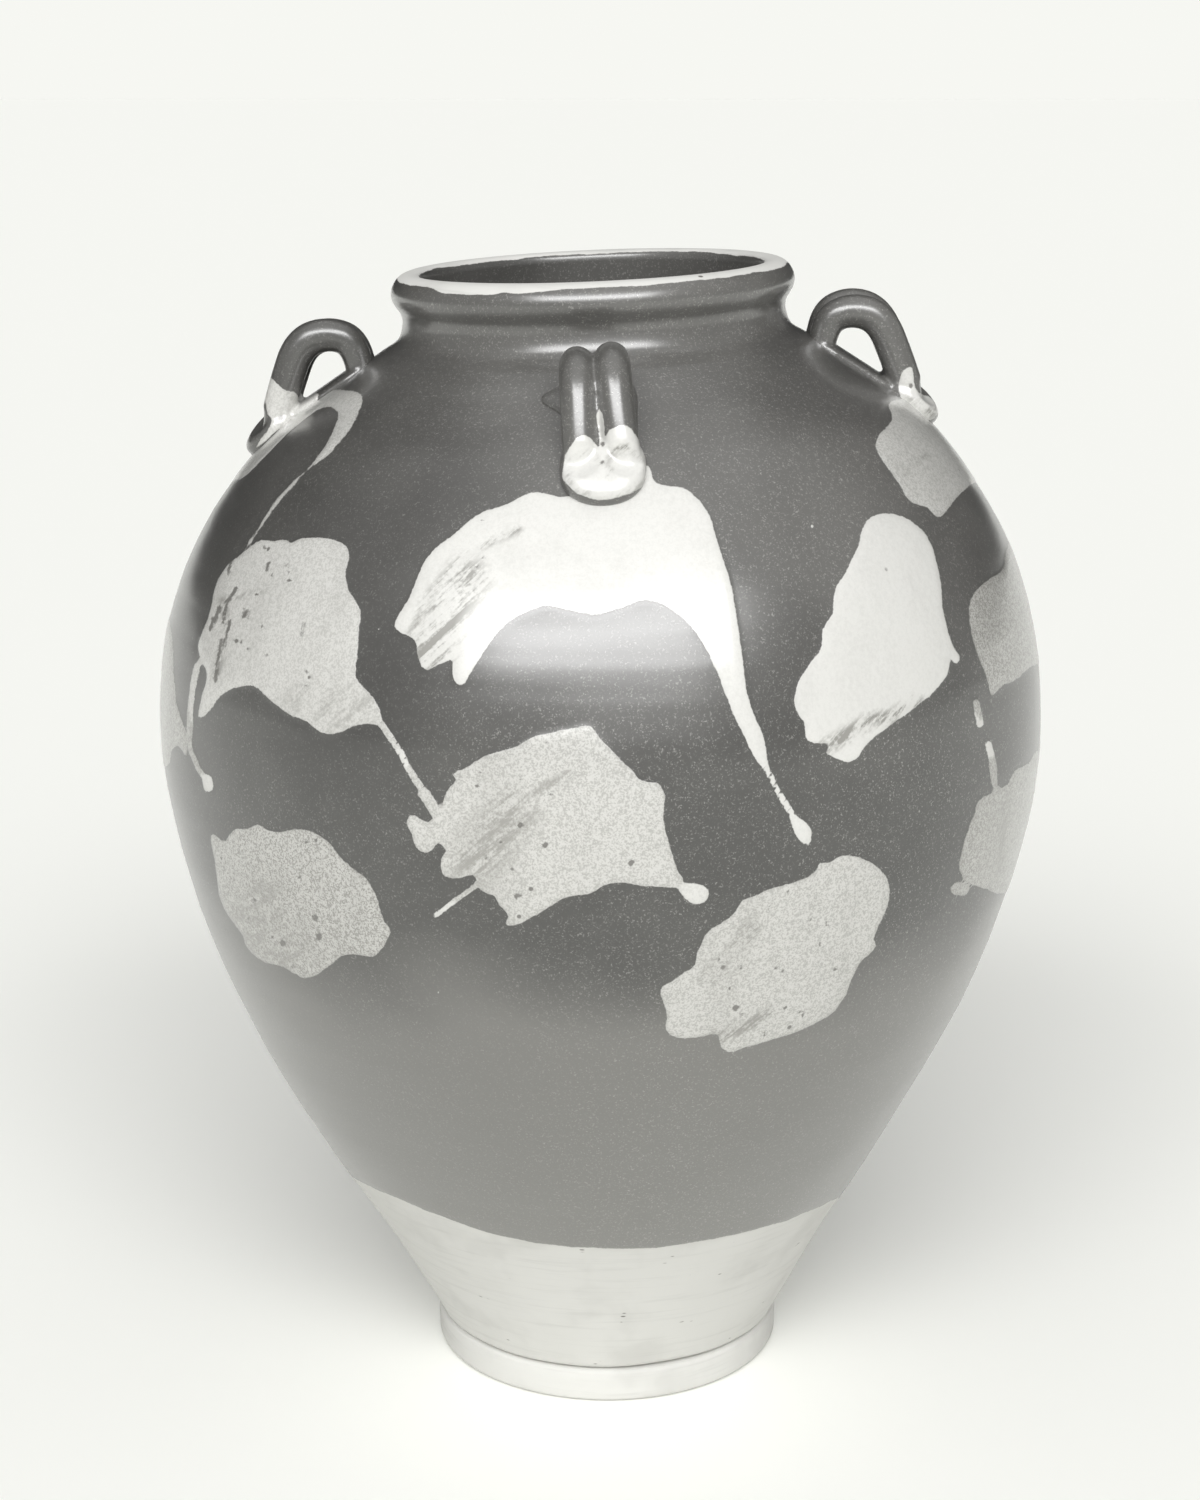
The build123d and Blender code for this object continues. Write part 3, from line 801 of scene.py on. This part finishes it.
def glazed_material(name):
    """Fired surface for the wall, neck, lip and ears."""
    material = bpy.data.materials.new(name)
    material.use_nodes = True
    finish = Finish(material.node_tree)
    place = finish.node("TexCoord", {}, output="Object")
    pale, cover, thin, bubble = (finish.painted(part) for part in paint_parts)
    bare = finish.painted("bare")
    sideways, backwards, height = finish.axes(place)

    # Unevenness of several sizes, and the ragged edge of the pale glaze
    wobble = finish.noise(place, 150.0, 3.0, 0.6) - 0.5
    fine = finish.noise(place, 620.0, 3.0, 0.65)
    grain = finish.noise(place, 1500.0, 2.0, 0.6)
    cloud = finish.noise(place, 22.0, 4.0, 0.6)
    drift = finish.noise(place, 14.0, 1.0)
    runs = finish.noise(finish.stretched(place, glaze_runs), 1.0, 4.0, 0.6)
    wander = (finish.noise(place, 48.0, 2.0) - 0.5) * finish.step(backwards, 0.01, 0.05) * 9.0
    edge = pale + wander + wobble * 1.1 + (fine - 0.5) * 0.9
    pale_mask = finish.step(edge, -0.22, 0.22)

    # Dark glaze: thinner and greyer low on the wall, partly a painted reflection of the floor; with a haze
    # and fine flecks on the shoulder, and painted light on its top and right side
    dark = finish.blend(finish.step(cloud, 0.35, 0.7), dark_colour, dark_light_colour)
    # Thinner glaze low on the wall, and a painted reflection of the floor there
    thin_and_reflecting_below = 1 - finish.step(height + (drift - 0.5) * 0.05, 0.182, 0.232)
    dark = finish.blend(thin_and_reflecting_below * 0.85, dark, low_thin_glaze_and_reflection_colour)
    flecks = finish.step(grain, 0.50, 0.72) * finish.step(fine, 0.40, 0.62)
    haze = finish.step(finish.noise(place, 11.0, 2.0), 0.35, 0.65)
    # Painted light: the right side and the upper shoulder are made lighter, and their flecks stronger
    painted_light_side = finish.step(sideways + (drift - 0.5) * 0.2, -0.14, 0.04)
    shoulder_haze_and_painted_light = finish.step(height, 0.25, 0.36) * (0.25 + painted_light_side * 0.75)
    dark = finish.blend(shoulder_haze_and_painted_light * (0.38 + haze * 0.3), dark, shoulder_haze_and_painted_light_colour)
    dark = finish.blend(flecks * (0.20 + haze * 0.25 + painted_light_side * 0.50), dark, fleck_colour)

    # Pale glaze: greyer in runs and at its edge, grainy where it is thin, streaked where it was
    # swept on, and pitted by burst bubbles
    greyed = finish.step(runs, 0.42, 0.70) * 0.45 + (1 - finish.step(edge, 0.0, 1.8)) * 0.35
    greyed = greyed * (1.35 - cover) + (fine - 0.5) * 0.5
    white = finish.blend(finish.within(greyed), pale_colour, pale_grey_colour)
    grains = finish.step(grain + (fine - 0.5) * 0.6, 0.42, 0.62)
    see_through = (1 - cover) * (0.75 + grains * 1.1)
    white = finish.blend(finish.within(see_through), white, thin_colour)
    along_sweep = {"Vector": place, "Rotation": (0.0, sweep_angle, 0.0), "Scale": sweep_sizes}
    swept = finish.node("Mapping", {"vector_type": "TEXTURE"}, along_sweep)
    streaks = finish.noise(swept, 1.0, 4.0, 0.7)
    thin_share = thin * finish.step(streaks + (fine - 0.5) * 0.25, 0.44, 0.60) * 1.15 + thin * 0.12
    white = finish.blend(finish.within(thin_share), white, thin_colour)
    few = 1 - finish.step(finish.spots(place, 34.0), 0.22, 0.34)
    pit = (1 - finish.step(finish.spots(place, 115.0), 0.07, 0.13)) * few
    burst = finish.step(bubble + wobble * 0.9 + (fine - 0.5) * 1.4, -0.3, 0.3)
    holes = finish.node("Math", {"operation": "MAXIMUM"}, {0: pit, 1: burst})
    white = finish.blend(holes * 0.85, white, bubble_colour)
    colour = finish.blend(pale_mask, dark, white)

    # Bare clay, and the gloss and fine relief of all three
    clay, clay_height = clay_nodes(finish, place)
    bare_mask = finish.step(bare + wobble * 0.8 + (fine - 0.5) * 0.5, -0.15, 0.15)
    colour = finish.blend(bare_mask, colour, clay)
    glaze_rough = glaze_roughness + (fine - 0.5) * 0.12 + thin_and_reflecting_below * 0.06 + thin * 0.06
    rough = glaze_rough * (1 - bare_mask) + bare_mask * clay_roughness
    glaze_height = pale_mask * (1 - holes * 0.7) * 0.55 + fine * 0.10 + cloud * 0.35
    surface_height = glaze_height * (1 - bare_mask) + bare_mask * (clay_height * 0.35 - 0.3)
    bump = finish.node("Bump", {}, {**glaze_relief, "Height": surface_height})
    coat = (1 - bare_mask) * coat_share
    inputs = {"Base Color": colour, "Roughness": rough, "Normal": bump, "Coat Weight": coat, **gloss}
    surface = finish.node("BsdfPrincipled", {}, inputs)
    finish.node("OutputMaterial", {}, {"Surface": surface})
    return material


wall_material = glazed_material("fired_wall")


def rows_between(low, high, step):
    """Evenly spread values from one to another, at about a spacing."""
    return np.linspace(low, high, max(2, round((high - low) / step)) + 1)


steepest_face = 0.55
bored_reach = 0.012
skin_reach = 0.003
for (name, slot, *nodes), low, high in zip(wall_bands, band_edges, band_edges[1:]):
    lengths = np.interp((low, high), profile_heights, profile_lengths)
    outer_heights = np.interp(rows_between(*lengths, row_step), profile_lengths, profile_heights)
    outer_heights[0], outer_heights[-1] = low, high
    inner_heights = rows_between(low, high, inner_row_step)[::-1]
    radial, upward = wall_face(inner_heights)
    rise_share = np.clip((inner_heights - foot_height) / (belly_height - foot_height), 0, 1)
    thickness = foot_wall + (body_wall - foot_wall) * rise_share
    inner_radii = wall_radius(inner_heights) - thickness / np.maximum(radial, steepest_face)
    bored = inner_heights > neck_seat_height - bored_reach
    inner_radii = np.where(bored, np.maximum(inner_radii, mouth_radius), inner_radii)
    outline = list(zip(wall_radius(outer_heights), outer_heights)) + list(zip(inner_radii, inner_heights))
    band = turned_ring(name, outline, wall_turns)
    points = corners_of(band)
    radii, angles = round_axis(points)
    heights = points[:, 2].copy()
    is_outer = radii > wall_radius(heights) - skin_reach
    outer, inner = np.flatnonzero(is_outer), np.flatnonzero(~is_outer)
    shaped, paint, bare = wall_surface(angles[outer], heights[outer])
    points[inner] = placed(angles[inner], heights[inner], radii[inner])
    points[outer] = shaped
    set_corners(band, points)

    # The bands' edges face as the whole wall does there, so that no seam shows
    from_edge = np.minimum(abs(heights - low), abs(heights - high))
    edge = outer[from_edge[outer] < row_step / 10]
    turn_step, rise_step = row_step / 2 / radii[edge], row_step / 2
    ahead, behind = (wall_surface(angles[edge] + way * turn_step, heights[edge])[0] for way in (1, -1))
    above, below = (wall_surface(angles[edge], heights[edge] + way * rise_step)[0] for way in (1, -1))
    facing = np.cross(ahead - behind, above - below)
    faces = faces_of(band)
    faces[edge] = facing / np.linalg.norm(facing, axis=1)[:, None]
    band.data.normals_split_custom_set_from_vertices(faces)
    whole, whole_bare = Paint(len(points)), np.full(len(points), -paint_reach)
    for part in paint_parts:
        getattr(whole, part)[outer] = getattr(paint, part)
    whole_bare[outer] = bare
    give_paint(band, whole, whole_bare)
    band.data.materials.append(wall_material)
    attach(band, "root")
    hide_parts(*nodes)


# Foot: a low band of bare clay, turned smooth, round a base slab that is set a little higher. A
# hairline groove is left between the band and the wall above it.
foot_turns = 360
foot_swell = 0.00012
foot_waves = ((2, 0.8), (5, 2.0), (3, -1.0))
foot_edge = (0.066, 0.070)
crease_angle = radians(40)
foot_roughness = 0.8
foot_relief = {"Strength": 0.3, "Distance": 0.0004}

clay_material = bpy.data.materials.new("bare_clay")
clay_material.use_nodes = True
clay_finish = Finish(clay_material.node_tree)
clay, clay_height = clay_nodes(clay_finish, clay_finish.node("TexCoord", {}, output="Object"))
clay_bump = clay_finish.node("Bump", {}, {**foot_relief, "Height": clay_height})
clay_inputs = {"Base Color": clay, "Roughness": foot_roughness, "Normal": clay_bump}
clay_surface = clay_finish.node("BsdfPrincipled", {}, clay_inputs)
clay_finish.node("OutputMaterial", {}, {"Surface": clay_surface})

foot_outline = (
    (0.0600, 0.0), (0.0640, 0.0), (0.0680, 0.0), (0.0694, 0.0001), (0.0703, 0.0005), (0.0709, 0.0011),
    (0.0712, 0.0020), (0.0712, 0.0045), (0.0713, 0.0070), (0.0713, 0.0095), (0.0712, 0.0122),
    (0.0709, 0.0132), (0.0702, 0.0137), (0.0692, 0.0139), (0.0670, 0.0140), (0.0640, 0.0140),
    (0.0600, 0.0140), (0.0600, 0.0110), (0.0600, 0.0070), (0.0600, 0.0030),
)
base_outline = (
    (0.0, 0.0012), (0.0150, 0.0012), (0.0300, 0.0011), (0.0450, 0.0010), (0.0560, 0.0010), (0.0598, 0.0010),
    (0.0599, 0.0060), (0.0598, 0.0128), (0.0560, 0.0130), (0.0450, 0.0129), (0.0300, 0.0130),
    (0.0150, 0.0130), (0.0, 0.0130),
)
for name, outline in (("foot_band_turned", foot_outline), ("base_slab_turned", base_outline)):
    piece = turned_ring(name, outline, foot_turns)
    points = corners_of(piece)
    radii, angles = round_axis(points)
    swell = foot_swell * sum(np.sin(waves * angles + phase) for waves, phase in foot_waves) / len(foot_waves)
    at_edge = soft_step(radii, *foot_edge)
    set_corners(piece, placed(angles, points[:, 2], radii + (swell - foot_swell) * at_edge))
    bpy.ops.object.shade_smooth_by_angle(angle=crease_angle)
    piece.data.materials.append(clay_material)
    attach(piece, "root")
    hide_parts(name.replace("_turned", ""))


# Neck and lip: a short collar that flares on to the shoulder, and a thick rolled lip on it, whose top
# was wiped clean of glaze before firing. Both are bored to the mouth and lean with the shoulder.
collar_base_radius = 0.0840
neck_rise = 0.0162
lip_rise = 0.0145
neck_turns = 480
neck_outline = (
    (0.0938, -0.0066), (0.0840, 0.0), (0.0809, 0.0019), (0.0781, 0.0036), (0.0760, 0.0055),
    (0.0748, 0.0078), (0.0741, 0.0104), (0.0738, 0.0132), (0.0743, 0.0157), (0.0757, 0.0180),
    (0.0770, 0.0202), (0.0776, 0.0224), (0.0774, 0.0246), (0.0765, 0.0268), (0.0751, 0.0287),
    (0.0732, 0.0300), (0.0709, 0.0306), (0.0685, 0.0304), (0.0666, 0.0297), (0.0655, 0.0284),
)
line_step, joint_step, bore_step, seat_step = 0.0009, 0.003, 0.002, 0.004
rising_points = 40
joint_gap = 0.0003
neck_swell = 0.00012
neck_waves = ((2, 1.0, 0), (3, 2.2, 60), (7, 0, -80))
swell_reach = 0.004
bore_margin = 0.001
seam_width = 0.00005
seam_reach = 0.0004

# The wiped top of the lip, in millimetres: how far it reaches down outside, where it is most ragged,
# and how far in the glaze of the bore begins
wiped_reach = 1.9
ragged_side = radians(-128)
ragged_width = 0.45
calm_share = 0.2
bore_glaze = 0.8
bore_waver = 0.4
crest_reach = 0.006
wiped_waver = ((3, 0.5, 1.1), (7, 0.35, 4.0), (13, 0.25, 0.3), (24, 0.2, 2.2), (41, 0.12, 5.0))


def smooth_line(points, step):
    """Points at about a spacing on a smooth line through others."""
    points = np.array(points, float)
    along = lengths_along(points)
    wanted = rows_between(0, along[-1], step)
    return list(zip(*(smooth_through(along, points[:, axis], wanted) for axis in (0, 1))))


def straight_line(start, end, step):
    """Points at about a spacing between two."""
    count = len(rows_between(0, np.hypot(end[0] - start[0], end[1] - start[1]), step))
    return list(zip(np.linspace(start[0], end[0], count), np.linspace(start[1], end[1], count)))


neck_top = neck_seat_height + neck_rise
bore_top, bore_foot = (mouth_radius, neck_top), (mouth_radius, neck_seat_height)
outer_line = [(radius, neck_seat_height + height) for radius, height in smooth_line(neck_outline, line_step)]
rising_radii, rising_heights = zip(*outer_line[:rising_points])
collar_line = [
    (radius, height) for radius, height in outer_line
    if neck_seat_height < height < neck_top - joint_gap and radius < collar_base_radius
]
lip_line = [point for point in outer_line if point[1] > neck_top + joint_gap]
joint = (float(np.interp(neck_top, rising_heights, rising_radii)), neck_top)
collar_outline = [(collar_base_radius, neck_seat_height), *collar_line, joint]
collar_outline += straight_line(joint, bore_top, joint_step)[1:]
collar_outline += straight_line(bore_top, bore_foot, bore_step)[1:]
collar_outline += straight_line(bore_foot, collar_outline[0], seat_step)[1:-1]
lip_outline = [joint, *lip_line]
lip_outline += straight_line(lip_line[-1], bore_top, bore_step)[1:]
lip_outline += straight_line(bore_top, joint, joint_step)[1:-1]
for name, outline, node, slot in (
    ("collar", collar_outline, "neck_collar", "dark_glaze"),
    ("rolled_lip", lip_outline, "lip_roll", "lip_glaze"),
):
    piece = turned_ring(name, outline, neck_turns)
    points = corners_of(piece)
    radii, angles = round_axis(points)
    heights = points[:, 2]
    swell = sum(np.sin(waves * angles + phase + pitch * heights) for waves, phase, pitch in neck_waves)
    swell = (swell - len(neck_waves)) * neck_swell / 2
    swell = swell * soft_step(heights, neck_seat_height, neck_seat_height + swell_reach)
    swollen = radii + np.where(radii > mouth_radius + bore_margin, swell, 0)
    set_corners(piece, placed(angles, heights, swollen))

    # The seams at the shoulder and under the lip face as one line, so that neither shows
    faces = faces_of(piece)
    for seam_height, seam_radius in ((neck_seat_height, collar_base_radius), (neck_top, joint[0])):
        seam = (abs(heights - seam_height) < seam_width) & (abs(radii - seam_radius) < seam_width)
        below, above = (
            np.interp(seam_height + way, rising_heights, rising_radii) for way in (-seam_reach, seam_reach)
        )
        face = np.array((2 * seam_reach, -(above - below))) / np.hypot(2 * seam_reach, above - below)
        around = placed(angles[seam], heights[seam], np.full(seam.sum(), face[0]), face[1])
        faces[seam] = around - placed(angles[seam], heights[seam], np.zeros(seam.sum()))
    piece.data.normals_split_custom_set_from_vertices(faces)
    below_top = 1000 * (neck_top + lip_rise - heights)
    waver = sum(size * np.sin(waves * angles + phase) for waves, size, phase in wiped_waver)
    ragged = np.exp(-((angles - ragged_side) / ragged_width) ** 2)
    outside = wiped_reach + ragged + waver * (calm_share + ragged) - below_top
    outside = np.where(radii > mouth_radius + crest_reach, outside, paint_reach)
    inside = (radii - mouth_radius) * 1000 - bore_glaze + bore_waver * waver
    inside = np.where(radii < mouth_radius + crest_reach, inside, paint_reach)
    bare = np.clip(np.minimum(outside, inside), -paint_reach, paint_reach)
    give_paint(piece, Paint(len(points)), bare)
    piece.data.materials.append(wall_material)
    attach(piece, "root")
    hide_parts(node)


# Ears: each is two rolls of clay laid side by side over a thin strap, arched from the foot of the neck
# down to a lobe that two thumbs pressed on to the shoulder. They were luted on before glazing.
roll_radius = 0.0062
roll_gap = -0.0004
roll_offset = 0.0006
ear_reach = 0.0175
root_depth = 0.0200
root_reach = -0.88
roll_path = ((-0.80, 0.87), (-0.20, 1.06), (0.43, 0.89), (0.79, 0.18))
roll_end = ((1.02, -0.0085), (1.10, -0.0150))
roll_thickness = (0.88, 0.92, 1.04, 1.06, 1.02, 1.0, 1.0)
roll_spread = (1.0, 1.0, 1.0, 1.02, 1.10, 1.22, 1.30)
roll_lean = (0, 0, 0, 0.1, 0.4, 0.8, 1.0)
roll_facets = 10

bed_cuts = 18
bed_middle, bed_half = -0.0015, 0.0205
bed_width, bed_narrowing = 0.0128, 0.003
bed_thickness, bed_depth = 0.0021, 0.0030
bed_side_thinning, bed_end_thinning = 0.55, 0.5
wing_start = 0.0135
wing_place, wing_length = -0.0125, 0.006

lobe_top = 0.0095
lobe_width, lobe_thickness, lobe_depth = 0.0150, 0.0068, 0.0030
lobe_fullness = (0.85, 0.9, 0.62)
thumb_reach, thumb_spread, thumb_height = 0.0245, 0.0069, 0.0060
thumb_radius, thumb_depth = 0.0068, 0.0017

ear_voxel = 0.0008
ear_softness, ear_soft_rounds = 0.5, 4

# Each ear: its place round the jar, how far out its seat is, how high its loop rises, how far it stands
# to one side, where its lobe ends, and how wide the clay was smeared out on both sides of its root
ear_measures = ("azimuth", "seat", "rise", "side", "lobe", "wings")
ears = {
    "front": (radians(-90), 0.1058, 0.0200, 0.0018, 0.0385, (0.0225, 0.0140)),
    "right": (0.0, 0.1022, 0.0223, 0.0, 0.0355, (0.0145, 0.0145)),
    "back": (radians(90), 0.1040, 0.0213, -0.0010, 0.0375, (0.0150, 0.0190)),
    "left": (pi, 0.1062, 0.0220, 0.0, 0.0380, (0.0145, 0.0145)),
}
ears = {name: dict(zip(ear_measures, measures)) for name, measures in ears.items()}
shoulder = profile_heights > belly_height + 0.01


def on_shoulder(ear, down, across, lift):
    """Points at lengths down the shoulder and across it from an ear's seat, lifted off its face."""
    seat_height = np.interp(-ear["seat"], -profile_radii[shoulder], profile_heights[shoulder])
    seat_length = np.interp(seat_height, profile_heights, profile_lengths)
    height = np.interp(seat_length - down, profile_lengths, profile_heights)
    radial, upward = wall_face(height)
    radius = wall_radius(height)
    return placed(ear["azimuth"] + across / radius, height, radius + lift * radial, lift * upward)


def in_ear_frame(ear, outwards, across, upwards):
    """Points given outwards, round the jar and up its centre line from an ear's seat."""
    seat_height = float(np.interp(-ear["seat"], -profile_radii[shoulder], profile_heights[shoulder]))
    radius = ear["seat"] + outwards
    angle = ear["azimuth"] + np.arctan2(across, radius)
    return placed(angle, np.full(len(radius), seat_height), np.hypot(radius, across), upwards)


def add_bed(ear):
    """Strap of clay that lies on the shoulder under the loop, thinned out at its edges."""
    bpy.ops.object.select_all(action="DESELECT")
    bpy.ops.mesh.primitive_cube_add(size=2)
    bed = bpy.context.object
    bpy.ops.object.mode_set(mode="EDIT")
    bpy.ops.mesh.select_all(action="SELECT")
    bpy.ops.mesh.subdivide(number_cuts=bed_cuts)
    bpy.ops.object.mode_set(mode="OBJECT")
    along, round_way, through = corners_of(bed).T
    down = bed_middle + bed_half * along
    first, second = ear["wings"]
    wing = np.where(round_way < 0, first, second) - wing_start
    width = bed_width + wing * np.exp(-((down - wing_place) / wing_length) ** 2)
    width = width - bed_narrowing * np.abs(along) ** 4
    across = round_way * width + ear["side"]
    thick = bed_thickness * (1 - np.abs(round_way) ** 6 * bed_side_thinning)
    thick = thick * (1 - np.abs(along) ** 6 * bed_end_thinning)
    set_corners(bed, on_shoulder(ear, down, across, np.where(through > 0, thick, -bed_depth)))
    return bed


def add_lobe(ear):
    """Flattened lump at the lower end of the strap."""
    bpy.ops.object.select_all(action="DESELECT")
    bpy.ops.mesh.primitive_uv_sphere_add(segments=64, ring_count=32, radius=1)
    lobe = bpy.context.object
    points = corners_of(lobe)
    along, round_way, through = (np.sign(points) * np.abs(points) ** lobe_fullness).T
    middle, half = (ear["lobe"] + lobe_top) / 2, (ear["lobe"] - lobe_top) / 2
    lift = np.where(through > 0, lobe_thickness * through, lobe_depth * through)
    set_corners(lobe, on_shoulder(ear, middle + half * along, lobe_width * round_way + ear["side"], lift))
    return lobe


def add_roll(ear, side):
    """One roll of clay over the loop, a little thinner towards its root at the neck."""
    rise = ear["rise"]
    path = [(root_reach * ear_reach, rise - root_depth + roll_radius)]
    path += [(out * ear_reach, up * rise) for out, up in roll_path]
    path += [(out * ear_reach, height) for out, height in roll_end]
    across = side * (roll_radius + roll_gap / 2) * np.array(roll_spread) + ear["side"] * np.array(roll_lean)
    outwards, upwards = np.array(path).T
    places = in_ear_frame(ear, outwards, across, upwards + side * roll_offset)
    bpy.ops.object.select_all(action="DESELECT")
    bpy.ops.curve.primitive_nurbs_path_add()
    roll = bpy.context.object
    line = roll.data.splines[0]
    line.points.add(len(path) - len(line.points))
    for point, place, thickness in zip(line.points, places, roll_thickness):
        point.co = (*place, 1.0)
        point.radius = thickness
    line.order_u = 3
    line.use_endpoint_u = True
    line.resolution_u = roll_facets
    roll.data.bevel_depth = roll_radius
    roll.data.bevel_resolution = roll_facets
    roll.data.use_fill_caps = True
    bpy.ops.object.convert(target="MESH")
    return bpy.context.object


# Pale glaze on the ears, in the photograph's pixels: outlines, then thin places and burst bubbles
ear_splashes = {
    "front": (0.97, (
        (563, 478), (563.5, 465), (566, 454), (571.5, 444.5), (577, 438), (583.6, 434.5), (590, 437),
        (595, 443), (598, 447), (598.5, 430), (597, 414), (599, 409), (601.5, 412), (604, 424), (606, 436),
        (609, 431), (616, 427), (623.7, 425), (630, 428), (637, 436.5), (642, 447), (645, 454),
        (650, 462), (655, 470), (653, 480), (644, 486), (629, 494), (612, 499), (600, 500), (586, 497),
        (573, 490),
    )),
    "right": (0.9, (
        (910.5, 367), (914, 383), (918, 392), (932, 398), (940, 406), (934, 418), (920, 421), (906, 410),
        (900, 396), (899, 380), (904, 370),
    )),
    "left": (0.78, (
        (266.5, 375), (272, 378.5), (278, 384), (284, 389.5), (291, 391), (296, 392.5), (300, 399),
        (318, 394), (316, 404), (296, 418), (278, 430), (266, 440), (256, 448), (262, 438), (268, 430),
        (272, 421), (268, 415), (266, 405), (264, 392), (265, 380),
    )),
}
ear_thin_places = {
    "front": (
        (1.0, 2.6, ((609, 453), (617, 448), (628, 446.5))),
        (1.0, 3.2, ((609, 470), (612, 480), (606, 487))),
        (0.8, 2.4, ((612, 480), (619, 484))),
        (0.5, 3.0, ((572, 462), (568, 476), (572, 487))),
        (0.45, 3.0, ((574, 462), (583, 453), (594, 452), (600, 462))),
        (0.4, 3.0, ((607, 462), (613, 455), (630, 451), (643, 460))),
        (0.5, 3.0, ((577, 491), (600, 498), (628, 493), (644, 483))),
    ),
    "right": ((0.9, 4.0, ((922, 404), (932, 414))), (0.6, 3.0, ((909, 398), (918, 404)))),
    "left": ((0.8, 2.5, ((290, 394), (296, 402))), (0.7, 3.0, ((268, 424), (262, 434)))),
}
ear_bubbles = {"front": ((602.3, 444), (602.3, 462)), "right": ((911, 386),), "left": ((281, 418),)}
ear_bubble_radius = 2.4


def ear_axes(ear):
    """An ear's seat, and its ways outwards, round the jar and up."""
    zero, step = np.zeros(1), np.full(1, 0.001)
    ends = ((zero, zero, zero), (step, zero, zero), (zero, zero, step))
    seat, out, up = (in_ear_frame(ear, *end)[0] for end in ends)
    outwards, upwards = ((end - seat) / np.linalg.norm(end - seat) for end in (out, up))
    return seat, np.array((outwards, np.cross(upwards, outwards), upwards))


def ear_paint(name, points):
    """Paint on an ear: the far side of the left and right ears copies the side in view, and the back
    ear was dipped as the front one was."""
    if name == "back":
        seat, axes = ear_axes(ears["back"])
        front_seat, front_axes = ear_axes(ears["front"])
        points = front_seat + (points - seat) @ axes.T @ front_axes
        name = "front"
    elif name != "front":
        points = points * (1, 0, 1) - np.abs(points) * (0, 1, 0)
    pixels = on_photo(points)
    paint = Paint(len(points))
    cover, outline = ear_splashes[name]
    paint.splash(pixels, outline, cover, pixel_size)
    for strength, half_width, line in ear_thin_places[name]:
        paint.thin_place(pixels, line, strength, half_width)
    for centre in ear_bubbles[name]:
        paint.burst(pixels, (centre, centre), ear_bubble_radius, pixel_size)
    return paint


for name, ear in ears.items():
    parts = [add_bed(ear), add_lobe(ear), add_roll(ear, -1), add_roll(ear, 1)]
    bpy.ops.object.select_all(action="DESELECT")
    for part in parts:
        part.select_set(True)
    bpy.context.view_layer.objects.active = parts[0]
    bpy.ops.object.join()
    piece = bpy.context.object
    piece.name = name + "_ear"
    piece.data.name = name + "_ear"
    fused = piece.modifiers.new("fused", "REMESH")
    fused.mode = "VOXEL"
    fused.voxel_size = ear_voxel
    bpy.ops.object.modifier_apply(modifier=fused.name)
    soft = piece.modifiers.new("soft", "SMOOTH")
    soft.factor = ear_softness
    soft.iterations = ear_soft_rounds
    bpy.ops.object.modifier_apply(modifier=soft.name)
    points = corners_of(piece)
    for side in (-1, 1):
        down, across = np.array([thumb_reach]), np.array([side * thumb_spread + ear["side"]])
        thumb, under = (on_shoulder(ear, down, across, np.array([lift])) for lift in (thumb_height, 0.0))
        away = np.linalg.norm(points - thumb, axis=1)
        pressed = thumb_depth * np.clip(1 - (away / thumb_radius) ** 2, 0, 1)
        inwards = (under - thumb) / np.linalg.norm(under - thumb)
        points = points + inwards * pressed[:, None]
    set_corners(piece, points)
    bpy.ops.object.shade_smooth()
    give_paint(piece, ear_paint(name, points), np.full(len(points), -paint_reach))
    piece.data.materials.append(wall_material)
    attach(piece, "root")
    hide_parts(name + "_ear_strap", name + "_ear_first_roll", name + "_ear_second_roll")


bpy.context.view_layer.update()
